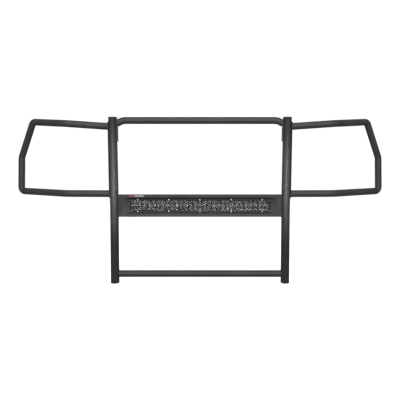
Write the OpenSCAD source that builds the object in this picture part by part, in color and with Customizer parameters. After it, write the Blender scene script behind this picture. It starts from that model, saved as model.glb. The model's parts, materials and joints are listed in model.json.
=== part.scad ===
// Front grille guard for a pickup truck: two uprights, two crossbars, two headlight cages,
// a light-bar cover panel with an expanded-metal insert, and an aimable LED light bar.
// Millimetres, +Z up, +Y towards the vehicle, left_ parts lie on the -X side.
// Origin: centre of the four frame bolts, on the rear face of the frame bracket flanges.
// Modules work in a foot frame (Z = 0 under the uprights, Y = 0 on their centre plane)
// and placed() moves them into the part's own frame.

/* [Uprights] */
// Height of the top of an upright tube, without its cap
upright_h = 904; // [880:2:920]
// Width of the flat-sided upright tube
upright_w = 45; // [44:0.5:46]
// Depth of the flat-sided upright tube
upright_d = 64; // [60:1:66]
// Wall thickness of the upright tube
upright_wall = 2.5; // [2:0.25:3]
// Distance from the centre plane to the axis of an upright's lower length
upright_x = 468.7; // [468:0.1:470]
// Height at which the uprights start to splay outwards
splay_start = 466; // [460:1:467]
// Outward splay of the upper length, degrees
splay = 0.6; // [0.4:0.1:0.8]
// Thickness of the plastic caps' visible head
cap_h = 5; // [4:0.5:6]

/* [Crossbars] */
// Outside diameter of the crossbar and cage tubes
tube_d = 38.1; // [37.5:0.1:38.5]
// Wall thickness of the crossbar and cage tubes
tube_wall = 2; // [1.5:0.25:2.5]
// Height of the top crossbar's centre line
top_bar_h = 890; // [888:1:892]
// Distance from the centre plane to the top crossbar's bends
top_bend_x = 419; // [416:1:422]
// Downward angle of the top crossbar's ends, degrees
top_bend = 28; // [25:1:30]
// Height of the lower crossbar's centre line
low_bar_h = 51; // [49:1:54]
// Height of the bolted plate at each end of the top crossbar
bar_plate_h = 116; // [110:2:120]
// Thickness of the bolted plates
plate_t = 4; // [4:0.5:5]

/* [Headlight cages] */
// Rearward sweep of the outer half of a cage, degrees
cage_sweep = 34; // [32:1:36]
// Distance from the centre plane to the sweep bends
cage_fold_x = 730; // [728:1:732]
// Height of the upper rail at the upright
cage_top_h = 858; // [856:1:860]
// Height of the lower rail at the upright
cage_low_h = 493; // [492:1:495]
// Thickness of the plate that a cage is welded to
cage_plate_t = 3; // [3:0.5:4]

/* [Cover panel] */
// Height of the cover panel
panel_h = 122; // [118:1:124]
// Height of the panel's centre line above the foot
panel_c = 427; // [425:1:429]
// Sheet thickness of the panel
panel_t = 2.5; // [2:0.25:3]
// Depth of the panel's recess
recess = 14; // [12:1:15]
// Length of the window in the panel
window_l = 770; // [766:2:772]
// Height of the window in the panel
window_h = 54; // [52:1:55]

/* [Light bar] */
// Pitch of the lamps in each of the two rows
lamp_pitch = 25.4; // [25:0.1:25.4]
// Number of lamps in a row
lamps = 30; // [28:2:30]
// Height of the light bar's housing
light_h = 80; // [78:1:80]
// Tilt of the light bar either way from level, degrees
light_tilt = 6; // [4:1:6]

/* [Frame brackets] */
// Distance from the uprights' centre plane back to the frame bolts' plane
reach = 150; // [140:5:160]
// Height of the frame bolts' centre above the foot
mount_h = 110; // [105:1:115]
// Distance between the left and right frame bolts
frame_span = 984; // [980:2:988]
// Vertical distance between the two frame bolts of one bracket
frame_bolt_pitch = 90; // [80:5:100]
// Thickness of the frame brackets
bracket_t = 6; // [5:0.5:6]

/* [Hidden] */
$fn = 64;

// Uprights
upright_in_x = upright_x - upright_w / 2;
splay_gap = 1;
fit_gap = 0.1;
cone_gap = 0.7;
splay_collar = 0.12;
upper_l = upright_h - splay_start;

// Crossbar and cage tubes
tube_r = tube_d / 2;
corner_r = 26;
fold_r = 60;
joint_gap = 0.3;
collar_l = 1;
collar_t = 0.1;
cage_kink_h = 689;
cage_top_x = 943;
cage_kink_x = 1028;
cage_low_x = 1035;
cage_top_rise = 16;
cage_corner_rise = 31;
cage_low_rise = 3;

top_bar_end_x = upright_x - 10;
top_bar_end_h = top_bar_h - (top_bar_end_x - top_bend_x) * tan(top_bend);
top_bar_points = [
    [-top_bar_end_x, 0, top_bar_end_h],
    [-top_bend_x, 0, top_bar_h],
    [top_bend_x, 0, top_bar_h],
    [top_bar_end_x, 0, top_bar_end_h]
];

// M8 countersunk screws through the plates
csk_d = 15;
csk_h = 3.6;
screw_d = 8;
weld_nut_d = 15;
weld_nut_h = 6;
bar_screw_drop = [62, 98];
bar_plate_drop = 11;
cage_screw_h = [540, 640, 740, 820];
plate_depth = 46;

// Rear tabs and frame brackets
tab_in_x = upright_x - 5;
bracket_x = tab_in_x + bracket_t;
tab_reach = 86;
tab_low_h = 60;
tab_top_h = 200;
bracket_bolt_y = 62;
bracket_bolt_h = [80, 150];
m12_r = 6;
m12_hole_r = 6.6;
m12_head_w = 18;
m12_head_h = 7.5;
washer_t = 2.5;
washer_r = 12;
flange_x1 = upright_x + 44;
bracket_low_h = mount_h - 68;
bracket_top_h = mount_h + 68;

// Cover panel, Y measured from the uprights' centre plane
panel_face_y = -10;
panel_gap = 0.3;
panel_l = 2 * (upright_in_x - panel_gap);
ledge_y = panel_face_y + recess;
recess_face_l = 2 * 410;
recess_face_h = 88;
recess_ledge_l = 2 * 394;
recess_ledge_h = 74;
top_flange_d = 42;
low_flange_d = 88;
end_flange_d = 40;
end_screw_dz = 38;
end_screw_y = 4;

// Expanded-metal insert
mesh_y = ledge_y + panel_t;
mesh_t = 1.5;
mesh_l = 2 * 393;
mesh_h = 73;
mesh_cols = 39;
mesh_rows = 5;
mesh_long = window_l / mesh_cols;
mesh_short = window_h / mesh_rows;
mesh_strand = 1.9;
mesh_screw_pitch = 170.5;
mesh_screw_dz = 32;
m5_r = 2.5;
m5_head_r = 4.4;
m5_head_h = 2.6;

// Light bar, Y measured from its bezel's front face
pivot_drop = 9;
mesh_screw_tip = 5;
light_clear = 2;
light_y = mesh_y + mesh_t + mesh_screw_tip + light_clear + (light_h + pivot_drop) * sin(light_tilt);
light_l = 2 * 386;
light_wall = 4.5;
bezel_t = 5;
lens_t = 3;
lens_l = 2 * 384;
lens_h = 62;
gasket_t = 1.5;
reflector_t = 15.5;
board_t = 1.6;
cavity_l = 2 * 384;
board_y = bezel_t + gasket_t + reflector_t;
back_y = board_y + board_t;
back_t = 4.5;
fin_y = back_y + back_t;
fin_d = 30;
fin_n = 9;
fin_t = 2.4;
light_cap_t = 8;
light_cap_mid = (bezel_t + fin_y + fin_d) / 2;
row_dz = 12.9;
cup_r = 12.2;
cup_back_r = 3.4;
chip_w = 3.5;
driver_l = 120;
driver_h = 52;
driver_d = 20;

// Tilt pivots under the light bar
foot_x = 90;
pivot_y = light_y + 36;
pivot_h = panel_c - light_h / 2 - pivot_drop;
pin_r = 3;
pin_clear = 0.05;
lug_w = 14;
ear_t = 3;
ear_gap = 0.3;
ear_r = 7;
flange_top_h = panel_c - panel_h / 2 + panel_t;
foot_wing = 22;
foot_l = lug_w + 2 * (ear_t + ear_gap + foot_wing);
foot_bolt_x = foot_l / 2 - 8;

// ---------- helpers ----------

// Moves a piece from the foot frame to the part's own frame
module placed() {
    translate([0, -reach, -mount_h]) children();
}

// Builds a right-hand piece, or its mirror image on the left
module sided(side) {
    if (side < 0)
        mirror([1, 0, 0]) children();
    else
        children();
}

// Moves a piece to the frame of an upright's splayed upper length
module splayed() {
    translate([upright_x, 0, splay_start]) rotate([0, splay, 0]) children();
}

// Flat-sided tube outline, w across its flats and d deep
module obround(w, d) {
    for (s = [-1, 1])
        translate([0, s * (d - w) / 2]) circle(d = w);
    square([w, d - w], center = true);
}

module obround_wall(w, d, wall) {
    difference() {
        obround(w, d);
        obround(w - 2 * wall, d - 2 * wall);
    }
}

module rounded_rect(l, h, r) {
    square([l - 2 * r, h], center = true);
    square([l, h - 2 * r], center = true);
    for (x = [-1, 1], y = [-1, 1])
        translate([x * (l / 2 - r), y * (h / 2 - r)]) circle(r);
}

// Extrudes an outline drawn in X and Z by depth d towards +Y, from y
module slab(y, d) {
    translate([0, y + d, 0]) rotate([90, 0, 0]) linear_extrude(d) children();
}

// Cylinder along +X or +Y from the current point
module x_rod(r, l) {
    rotate([0, 90, 0]) cylinder(r = r, h = l);
}

module y_rod(r, l) {
    rotate([-90, 0, 0]) cylinder(r = r, h = l);
}

function unit(v) = v / norm(v);

function turn(p, i) = acos(unit(p[i] - p[i - 1]) * unit(p[i + 1] - p[i]));

function cut_back(p, bends, i) =
    (i == 0 || i == len(p) - 1) ? 0 : bends[i - 1] * tan(turn(p, i) / 2);

// Solid round bar of radius r through points p, with a bend radius at each inner point
module bent_bar(p, bends, r) {
    u = unit(p[1] - p[0]);
    yaw = atan2(u[1], u[0]);
    tip = acos(u[2]);
    x_axis = [cos(tip) * cos(yaw), cos(tip) * sin(yaw), -sin(tip)];
    translate(p[0]) rotate([0, tip, yaw]) bar_run(p, bends, r, 1, x_axis);
}

// Straight length up to point i, then its bend, then the rest in the frame at the bend's end.
// A thin collar bridges each straight length and bend, as the fused joint line of the tube.
module bar_run(p, bends, r, i, x_axis) {
    u = unit(p[i] - p[i - 1]);
    l = norm(p[i] - p[i - 1]) - cut_back(p, bends, i - 1) - cut_back(p, bends, i);
    gap0 = i == 1 ? 0 : joint_gap;
    gap1 = i == len(p) - 1 ? 0 : joint_gap;
    translate([0, 0, gap0]) cylinder(r = r, h = l - gap0 - gap1);
    if (i > 1)
        collar(r);
    if (i < len(p) - 1) {
        v = unit(p[i + 1] - p[i]);
        y_axis = cross(u, x_axis);
        roll = atan2(v * y_axis, v * x_axis);
        angle = turn(p, i);
        bend_r = bends[i - 1];
        rolled = x_axis * cos(roll) + y_axis * sin(roll);
        translate([0, 0, l]) rotate([0, 0, roll]) {
            collar(r);
            translate([bend_r, 0, 0]) rotate([90, 0, 180])
                rotate_extrude(angle = angle) translate([bend_r, 0]) circle(r);
            translate([bend_r, 0, 0]) rotate([0, angle, 0]) translate([-bend_r, 0, 0])
                bar_run(p, bends, r, i + 1, rolled * cos(angle) - u * sin(angle));
        }
    }
}

module collar(r) {
    translate([0, 0, -collar_l / 2]) cylinder(r = r + collar_t, h = collar_l);
}

// ---------- uprights ----------

// Lower and upper lengths of an upright as one bar, joined by a thin collar at the splay
module upright_bar(w, d) {
    translate([upright_x, 0, cap_h]) linear_extrude(splay_start - splay_gap - cap_h) obround(w, d);
    translate([upright_x, 0, splay_start - 2 * splay_gap])
        linear_extrude(4 * splay_gap) obround(w + splay_collar, d + splay_collar);
    splayed() translate([0, 0, splay_gap]) linear_extrude(upper_l - splay_gap) obround(w, d);
}

module upright(side) {
    color([0.09, 0.09, 0.09]) sided(side) difference() {
        upright_bar(upright_w, upright_d);
        upright_bar(upright_w - 2 * upright_wall, upright_d - 2 * upright_wall);
        plate_screw_places(screw_d / 2 + cone_gap, -upright_wall - 1, 2);
        translate([upright_in_x - 1, end_screw_y, 0]) for (s = [-1, 1])
            translate([0, 0, panel_c + s * end_screw_dz]) x_rod(3.2, upright_wall + 2);
    }
}

module cap_shape() {
    linear_extrude(cap_h - 2) obround(upright_w + 1.4, upright_d + 1.4);
    translate([0, 0, cap_h - 2]) linear_extrude(1) obround(upright_w - 0.6, upright_d - 0.6);
    translate([0, 0, cap_h - 1]) linear_extrude(1) obround(upright_w - 5, upright_d - 5);
    translate([0, 0, -18]) linear_extrude(18)
        obround_wall(upright_w - 2 * upright_wall, upright_d - 2 * upright_wall, 2);
}

module top_cap(side) {
    color([0.03, 0.03, 0.03]) sided(side) splayed() translate([0, 0, upper_l]) cap_shape();
}

module foot_cap(side) {
    color([0.03, 0.03, 0.03]) sided(side) translate([upright_x, 0, cap_h])
        mirror([0, 0, 1]) cap_shape();
}

// ---------- crossbars ----------

module crossbar_end_cut() {
    for (s = [-1, 1]) sided(s) splayed()
        translate([-upright_w / 2 - plate_t, -100, 0]) cube([100, 200, upper_l + 100]);
}

module top_crossbar() {
    color([0.09, 0.09, 0.09]) difference() {
        bent_bar(top_bar_points, [fold_r, fold_r], tube_r);
        bent_bar(top_bar_points, [fold_r, fold_r], tube_r - tube_wall);
        crossbar_end_cut();
    }
}

// Screw axes of the plates on an upright's flats: screw_r radius, from d0 inside the flat
// to d1 outside it
module plate_screw_places(screw_r, d0, d1) {
    splayed() {
        for (h = cage_screw_h)
            translate([upright_w / 2 + d0, 0, h - splay_start]) x_rod(screw_r, d1 - d0);
        for (h = bar_screw_drop)
            translate([-upright_w / 2 - d1, 0, upper_l - h]) x_rod(screw_r, d1 - d0);
    }
}

module countersinks(inside_t, outside_t) {
    splayed() {
        for (h = cage_screw_h)
            translate([upright_w / 2 + outside_t - csk_h, 0, h - splay_start])
                rotate([0, 90, 0]) cylinder(d1 = screw_d, d2 = csk_d, h = csk_h);
        for (h = bar_screw_drop)
            translate([-upright_w / 2 - inside_t + csk_h, 0, upper_l - h])
                rotate([0, -90, 0]) cylinder(d1 = screw_d, d2 = csk_d, h = csk_h);
    }
}

module crossbar_plate(side) {
    plate_top = upper_l - bar_plate_drop;
    color([0.09, 0.09, 0.09]) sided(side) difference() {
        splayed() translate([-upright_w / 2 - plate_t, -plate_depth / 2, plate_top - bar_plate_h])
            cube([plate_t, plate_depth, bar_plate_h]);
        plate_screw_places(screw_d / 2, -1, plate_t + 1);
        countersinks(plate_t, cage_plate_t);
    }
}

module lower_crossbar() {
    color([0.09, 0.09, 0.09]) translate([-upright_in_x, 0, low_bar_h]) difference() {
        x_rod(tube_r, 2 * upright_in_x);
        x_rod(tube_r - tube_wall, 2 * upright_in_x);
    }
}

// ---------- headlight cages ----------

// A point on the folded cage: flat beside the upright, swept back past the fold
function folded(x, h) = [x, max(0, x - cage_fold_x) * tan(cage_sweep), h];

cage_points = [
    folded(upright_x, cage_top_h - 2),
    folded(cage_fold_x, cage_top_h + cage_top_rise),
    folded(cage_top_x, cage_top_h + cage_corner_rise),
    folded(cage_kink_x, cage_kink_h),
    folded(cage_low_x, cage_low_h + cage_low_rise),
    folded(cage_fold_x, cage_low_h + 1),
    folded(upright_x, cage_low_h)
];
cage_bends = [fold_r, corner_r, fold_r, corner_r, fold_r];

module cage_end_cut() {
    splayed() translate([-100, -100, -200]) cube([100 + upright_w / 2 + cage_plate_t, 200, 700]);
}

module headlight_cage(side) {
    color([0.09, 0.09, 0.09]) sided(side) difference() {
        bent_bar(cage_points, cage_bends, tube_r);
        bent_bar(cage_points, cage_bends, tube_r - tube_wall);
        cage_end_cut();
    }
}

module cage_plate(side) {
    plate_low = cage_low_h - tube_r - 4 - splay_start;
    plate_top = cage_top_h + tube_r + 8 - splay_start;
    color([0.09, 0.09, 0.09]) sided(side) difference() {
        splayed() translate([upright_w / 2, -plate_depth / 2, plate_low])
            cube([cage_plate_t, plate_depth, plate_top - plate_low]);
        plate_screw_places(screw_d / 2, -1, cage_plate_t + 1);
        countersinks(plate_t, cage_plate_t);
    }
}

module plate_screws() {
    color([0.06, 0.06, 0.06]) for (s = [-1, 1]) sided(s) {
        countersinks(plate_t, cage_plate_t);
        splayed() {
            for (h = cage_screw_h)
                translate([upright_w / 2 - 14, 0, h - splay_start])
                    x_rod(screw_d / 2 - 0.1, 14 + cage_plate_t - csk_h);
            for (h = bar_screw_drop)
                translate([-upright_w / 2 - plate_t + csk_h, 0, upper_l - h])
                    x_rod(screw_d / 2 - 0.1, 14 + plate_t - csk_h);
        }
    }
}

module plate_weld_nuts() {
    inner_flat = upright_w / 2 - upright_wall;
    color([0.5, 0.5, 0.5]) for (s = [-1, 1]) sided(s) splayed() {
        for (h = cage_screw_h)
            translate([inner_flat - weld_nut_h, 0, h - splay_start]) weld_nut();
        for (h = bar_screw_drop)
            translate([-inner_flat, 0, upper_l - h]) weld_nut();
    }
}

module weld_nut() {
    difference() {
        rotate([0, 90, 0]) cylinder(d = weld_nut_d, h = weld_nut_h, $fn = 6);
        translate([-1, 0, 0]) x_rod(screw_d / 2, weld_nut_h + 2);
    }
}

// ---------- rear tabs and frame brackets ----------

module rear_tab(side) {
    color([0.09, 0.09, 0.09]) sided(side) difference() {
        translate([tab_in_x, 20, tab_low_h]) cube([bracket_t, tab_reach - 20, tab_top_h - tab_low_h]);
        translate([upright_x, 0, 0]) linear_extrude(splay_start)
            obround(upright_w + fit_gap, upright_d + fit_gap);
        bracket_bolt_places() x_rod(m12_hole_r, 3 * bracket_t);
    }
}

module bracket_bolt_places() {
    for (h = bracket_bolt_h)
        translate([tab_in_x - bracket_t, bracket_bolt_y, h]) children();
}

module frame_bracket(side) {
    bend_r = 8;
    color([0.09, 0.09, 0.09]) sided(side) difference() {
        translate([0, 0, bracket_low_h]) linear_extrude(bracket_top_h - bracket_low_h) {
            translate([bracket_x, 38]) square([bracket_t, reach - 38 - bend_r - bracket_t]);
            translate([bracket_x + bend_r + bracket_t, reach - bracket_t])
                square([flange_x1 - bracket_x - bend_r - bracket_t, bracket_t]);
            translate([bracket_x + bend_r + bracket_t, reach - bend_r - bracket_t])
                intersection() {
                    difference() {
                        circle(bend_r + bracket_t);
                        circle(bend_r);
                    }
                    translate([-bend_r - bracket_t, 0]) square(bend_r + bracket_t);
                }
        }
        bracket_bolt_places() x_rod(m12_hole_r, 6 * bracket_t);
        for (s = [-1, 1])
            translate([frame_span / 2, reach - bracket_t - 1, mount_h + s * frame_bolt_pitch / 2])
                y_rod(m12_hole_r, bracket_t + 2);
    }
}

module hex_x(w, h) {
    rotate([0, 90, 0]) cylinder(d = w / cos(30), h = h, $fn = 6);
}

module washer_x(r_out, r_in, t) {
    difference() {
        x_rod(r_out, t);
        translate([-1, 0, 0]) x_rod(r_in, t + 2);
    }
}

module bracket_bolts() {
    head_x = tab_in_x - washer_t;
    color([0.6, 0.6, 0.58]) for (s = [-1, 1], h = bracket_bolt_h)
        sided(s) translate([head_x, bracket_bolt_y, h]) {
            translate([-m12_head_h, 0, 0]) hex_x(m12_head_w, m12_head_h);
            x_rod(m12_r, 2 * bracket_t + 2 * washer_t + 14);
        }
}

module bracket_nuts() {
    nut_x = bracket_x + bracket_t + washer_t;
    color([0.6, 0.6, 0.58]) for (s = [-1, 1], h = bracket_bolt_h)
        sided(s) translate([nut_x, bracket_bolt_y, h]) difference() {
            hex_x(m12_head_w, 10);
            translate([-1, 0, 0]) x_rod(m12_r, 12);
        }
}

module bracket_washers() {
    color([0.6, 0.6, 0.58]) for (s = [-1, 1], h = bracket_bolt_h) sided(s) {
        translate([tab_in_x - washer_t, bracket_bolt_y, h]) washer_x(washer_r, m12_hole_r, washer_t);
        translate([bracket_x + bracket_t, bracket_bolt_y, h]) washer_x(washer_r, m12_hole_r, washer_t);
    }
}

// ---------- cover panel ----------

module cover_panel() {
    half_h = panel_h / 2;
    face_back = panel_face_y + panel_t / 2;
    color([0.09, 0.09, 0.09]) difference() {
        translate([0, 0, panel_c]) {
            slab(panel_face_y, panel_t) square([panel_l, panel_h], center = true);
            dish(panel_face_y + 0.5, ledge_y + panel_t, 1.6 * panel_t);
            translate([0, 0, half_h - panel_t / 2]) flange(face_back, top_flange_d, panel_l);
            translate([0, 0, -half_h + panel_t / 2]) flange(face_back, low_flange_d, panel_l);
            for (s = [-1, 1])
                translate([s * (panel_l - panel_t) / 2 - panel_t / 2, face_back, -half_h])
                    cube([panel_t, panel_face_y + end_flange_d - face_back, panel_h]);
        }
        translate([0, 0, panel_c]) {
            dish(panel_face_y - 1, ledge_y, 0);
            slab(ledge_y - 1, panel_t + 2) rounded_rect(window_l, window_h, 4);
        }
        for (s = [-1, 1], z = [-1, 1])
            sided(s) translate([panel_l / 2 - 5, end_screw_y, panel_c + z * end_screw_dz])
                x_rod(3.2, 8);
        mesh_screw_places(mesh_screw_dz) y_rod(m5_r + 0.2, 8);
        for (s = [-1, 1], x = [-1, 1])
            translate([s * foot_x + x * foot_bolt_x, pivot_y, flange_top_h - panel_t - 1])
                cylinder(r = 3.2, h = panel_t + 2);
    }
}

// Four-sided taper of the recess between two depths, grown by g on every side
module dish(y0, y1, g) {
    function span(face, ledge, y) = face + (ledge - face) * (y - panel_face_y) / recess + 2 * g;
    polyhedron(
        points = [
            for (y = [y0, y1], s = [[-1, -1], [1, -1], [1, 1], [-1, 1]])
                [s[0] * span(recess_face_l, recess_ledge_l, y) / 2, y,
                 s[1] * span(recess_face_h, recess_ledge_h, y) / 2]
        ],
        faces = [[3, 2, 1, 0], [4, 5, 6, 7], [5, 4, 0, 1], [6, 5, 1, 2], [7, 6, 2, 3], [4, 7, 3, 0]]
    );
}

module flange(y0, depth, l) {
    translate([-l / 2, y0, -panel_t / 2]) cube([l, panel_face_y + depth - y0, panel_t]);
}

module mesh_screw_places(dz) {
    for (i = [-2 : 2], s = [-1, 1])
        translate([i * mesh_screw_pitch, ledge_y - 1, panel_c + s * dz]) children();
}

module panel_end_screws() {
    head_x = panel_l / 2 - panel_t;
    color([0.06, 0.06, 0.06]) for (s = [-1, 1], z = [-1, 1])
        sided(s) translate([head_x, end_screw_y, panel_c + z * end_screw_dz]) {
            translate([-3.5, 0, 0]) x_rod(5.5, 3.5);
            x_rod(3, panel_t + panel_gap + upright_wall + 8);
        }
}

module mesh_insert() {
    color([0.07, 0.07, 0.07]) translate([0, 0, panel_c]) slab(mesh_y, mesh_t) difference() {
        square([mesh_l, mesh_h], center = true);
        intersection() {
            square([window_l, window_h], center = true);
            for (j = [-mesh_rows : mesh_rows], i = [-mesh_cols / 2 - 1 : mesh_cols / 2 + 1])
                translate([(i + (abs(j) % 2) / 2) * mesh_long, j * mesh_short / 2]) diamond();
        }
        for (i = [-2 : 2], s = [-1, 1])
            translate([i * mesh_screw_pitch, s * mesh_screw_dz]) circle(m5_r + 0.2);
    }
}

module diamond() {
    a = mesh_long / 2 - mesh_strand;
    b = mesh_short / 2 - mesh_strand * mesh_short / mesh_long;
    polygon([[a, 0], [0, b], [-a, 0], [0, -b]]);
}

module mesh_screws() {
    color([0.75, 0.75, 0.75]) mesh_screw_places(mesh_screw_dz) {
        translate([0, 1 - m5_head_h, 0]) y_rod(m5_head_r, m5_head_h);
        translate([0, 1, 0]) y_rod(m5_r, panel_t + mesh_t + mesh_screw_tip);
    }
}

module mesh_nuts() {
    color([0.6, 0.6, 0.58]) mesh_screw_places(mesh_screw_dz)
        translate([0, 1 + panel_t + mesh_t, 0]) difference() {
            rotate([-90, 0, 0]) cylinder(d = 8 / cos(30), h = 4, $fn = 6);
            translate([0, -1, 0]) y_rod(m5_r, 6);
        }
}

module badge() {
    color([0.7, 0.68, 0.68]) translate([-348, 0, panel_c + panel_h / 2 - 7])
        slab(panel_face_y - 1, 1) rounded_rect(86, 10, 2);
}

// ---------- light bar feet and pivots ----------

module light_foot(side) {
    color([0.12, 0.12, 0.12]) sided(side) translate([foot_x, pivot_y, 0]) difference() {
        union() {
            translate([-foot_l / 2, -9, flange_top_h]) cube([foot_l, 18, ear_t]);
            for (s = [-1, 1])
                translate([s * (lug_w / 2 + ear_gap + ear_t / 2) - ear_t / 2, 0, 0]) {
                    translate([0, 0, pivot_h]) x_rod(ear_r, ear_t);
                    translate([0, -ear_r, flange_top_h])
                        cube([ear_t, 2 * ear_r, pivot_h - flange_top_h]);
                }
        }
        translate([-foot_l / 2, 0, pivot_h]) x_rod(pin_r + pin_clear, foot_l);
        for (s = [-1, 1])
            translate([s * foot_bolt_x, 0, flange_top_h - 1]) cylinder(r = 3.2, h = ear_t + 2);
    }
}

module foot_bolts() {
    color([0.1, 0.1, 0.1]) for (s = [-1, 1], x = [-1, 1])
        translate([s * foot_x + x * foot_bolt_x, pivot_y, flange_top_h - panel_t]) {
            translate([0, 0, -4]) cylinder(d = 10 / cos(30), h = 4, $fn = 6);
            cylinder(r = 3, h = panel_t + ear_t + 7);
        }
}

module foot_nuts() {
    color([0.6, 0.6, 0.58]) for (s = [-1, 1], x = [-1, 1])
        translate([s * foot_x + x * foot_bolt_x, pivot_y, flange_top_h + ear_t]) difference() {
            cylinder(d = 10 / cos(30), h = 5, $fn = 6);
            translate([0, 0, -1]) cylinder(r = 3, h = 7);
        }
}

module tilt_pins() {
    ear_out = lug_w / 2 + ear_gap + ear_t;
    color([0.6, 0.6, 0.58]) for (s = [-1, 1])
        sided(s) translate([foot_x, pivot_y, pivot_h]) {
            translate([-ear_out - 3, 0, 0]) x_rod(5, 3);
            translate([-ear_out, 0, 0]) x_rod(pin_r, 2 * ear_out + 6);
        }
}

module tilt_pin_nuts() {
    ear_out = lug_w / 2 + ear_gap + ear_t;
    color([0.6, 0.6, 0.58]) for (s = [-1, 1])
        sided(s) translate([foot_x + ear_out, pivot_y, pivot_h]) difference() {
            hex_x(10, 5);
            translate([-1, 0, 0]) x_rod(pin_r, 7);
        }
}

module light_lug(side) {
    lug_top = panel_c - light_h / 2;
    color([0.12, 0.12, 0.12]) sided(side) translate([foot_x - lug_w / 2, pivot_y, 0])
        difference() {
            union() {
                translate([0, 0, pivot_h]) x_rod(6, lug_w);
                translate([0, -6, pivot_h]) cube([lug_w, 12, lug_top - pivot_h]);
            }
            translate([-1, 0, pivot_h]) x_rod(pin_r + pin_clear, lug_w + 2);
        }
}

// ---------- light bar ----------

module light_housing() {
    color([0.1, 0.1, 0.1]) translate([0, light_y, panel_c]) difference() {
        union() {
            slab(bezel_t, fin_y - bezel_t) square([light_l, light_h], center = true);
            for (i = [0 : fin_n - 1])
                translate([-light_l / 2, fin_y, (i / (fin_n - 1) - 0.5) * (light_h - fin_t) - fin_t / 2])
                    cube([light_l, fin_d, fin_t]);
        }
        slab(bezel_t - 1, back_y - bezel_t + 1)
            square([cavity_l, light_h - 2 * light_wall], center = true);
        slab(fin_y, fin_d + 1) square([driver_l, driver_h], center = true);
        translate([0, back_y - 1, 0]) y_rod(5, back_t + 2);
    }
}

module light_cap(side) {
    color([0.1, 0.1, 0.1]) sided(side) translate([light_l / 2, light_y, panel_c])
        rotate([0, 90, 0]) linear_extrude(light_cap_t)
            translate([0, light_cap_mid]) difference() {
                rounded_rect(light_h, fin_y + fin_d - bezel_t, 6);
                for (y = [-20, 20], z = [-30, 30])
                    translate([z, y]) circle(2.1);
            }
}

module light_cap_screws() {
    color([0.7, 0.7, 0.7]) for (s = [-1, 1], y = [-20, 20], z = [-30, 30])
        sided(s) translate([light_l / 2, light_y + light_cap_mid + y, panel_c + z]) {
            x_rod(2, light_cap_t);
            translate([light_cap_t, 0, 0]) x_rod(3.6, 2.4);
        }
}

module light_bezel() {
    color([0.08, 0.08, 0.08]) translate([0, light_y, panel_c]) difference() {
        slab(0, bezel_t) rounded_rect(light_l + 2 * light_cap_t, light_h, 6);
        slab(-1, bezel_t + 2) rounded_rect(lens_l - 8, window_h + 2, 3);
        slab(bezel_t - lens_t, lens_t + 1) square([lens_l, lens_h], center = true);
        for (s = [-1, 1])
            translate([s * (light_l / 2 + light_cap_t), 0, 0]) rotate([0, 0, s * 45])
                cube([4, 4, light_h + 2], center = true);
    }
}

module light_lens() {
    color([0.85, 0.9, 0.92, 0.4]) translate([0, light_y, panel_c])
        slab(bezel_t - lens_t, lens_t) square([lens_l, lens_h], center = true);
}

module lens_gasket() {
    color([0.03, 0.03, 0.03]) translate([0, light_y, panel_c]) slab(bezel_t, gasket_t) difference() {
        square([cavity_l, light_h - 2 * light_wall], center = true);
        square([lens_l - 8, window_h + 2], center = true);
    }
}

module lamp_places() {
    for (i = [0 : lamps - 1], s = [-1, 1])
        translate([(i - (lamps - 1) / 2) * lamp_pitch, 0, s * row_dz]) children();
}

module reflector_array() {
    color([0.85, 0.85, 0.87]) translate([0, light_y + bezel_t + gasket_t, panel_c]) difference() {
        slab(0, reflector_t) square([lamps * lamp_pitch + 2, 2 * (row_dz + cup_r) + 6], center = true);
        lamp_places() translate([0, -1, 0]) rotate([-90, 0, 0])
            cylinder(r1 = cup_r + 0.5, r2 = cup_back_r, h = reflector_t + 1);
        lamp_places() translate([0, reflector_t - 1, 0]) y_rod(cup_back_r, 2);
    }
}

module led_board() {
    color([0.05, 0.25, 0.12]) translate([0, light_y, panel_c])
        slab(board_y, board_t) square([cavity_l - 2, light_h - 2 * light_wall - 2], center = true);
}

module led_chips() {
    color([0.9, 0.85, 0.4]) translate([0, light_y + board_y - 1, panel_c]) lamp_places()
        translate([-chip_w / 2, 0, -chip_w / 2]) cube([chip_w, 1, chip_w]);
}

module driver_cover() {
    wall = 2.5;
    color([0.1, 0.1, 0.1]) translate([0, light_y + fin_y, panel_c]) difference() {
        slab(0, driver_d + fin_d - 12) rounded_rect(driver_l - 4, driver_h - 4, 4);
        slab(-1, driver_d + fin_d - 12 - wall + 1)
            rounded_rect(driver_l - 4 - 2 * wall, driver_h - 4 - 2 * wall, 2);
        translate([-30, driver_d + fin_d - 20, 0]) y_rod(6 + pin_clear, 20);
        translate([32, driver_d + fin_d - 20, 0]) y_rod(4 + pin_clear, 20);
    }
}

module driver_board() {
    board_back = light_y + fin_y + 8;
    color([0.05, 0.25, 0.12]) translate([0, board_back, panel_c]) {
        slab(0, board_t) square([104, 38], center = true);
        for (x = [-38, -24, 10, 30])
            translate([x, board_t, 4]) y_rod(5, 10);
        for (x = [-8, 20])
            translate([x - 5, board_t, -14]) cube([10, 6, 10]);
    }
    color([0.6, 0.6, 0.6]) for (x = [-46, 46], z = [-14, 14])
        translate([x, light_y + fin_y, panel_c + z]) y_rod(2, 8);
}

module cable_gland() {
    gland_y = light_y + fin_y + driver_d + fin_d - 12;
    color([0.04, 0.04, 0.04]) translate([-30, gland_y, panel_c]) difference() {
        union() {
            translate([0, -6, 0]) y_rod(6, 6);
            rotate([-90, 0, 0]) cylinder(d = 18 / cos(30), h = 5, $fn = 6);
            translate([0, 5, 0]) y_rod(7.5, 4);
            translate([0, 9, 0]) rotate([-90, 0, 0]) cylinder(r1 = 7.5, r2 = 5, h = 5);
        }
        translate([0, -7, 0]) y_rod(3.2, 30);
    }
}

module breather_plug() {
    color([0.04, 0.04, 0.04]) translate([32, light_y + fin_y + driver_d + fin_d - 12, panel_c]) {
        translate([0, -5, 0]) y_rod(4, 5);
        y_rod(7, 3);
    }
}

// ---------- nodes ----------

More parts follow.
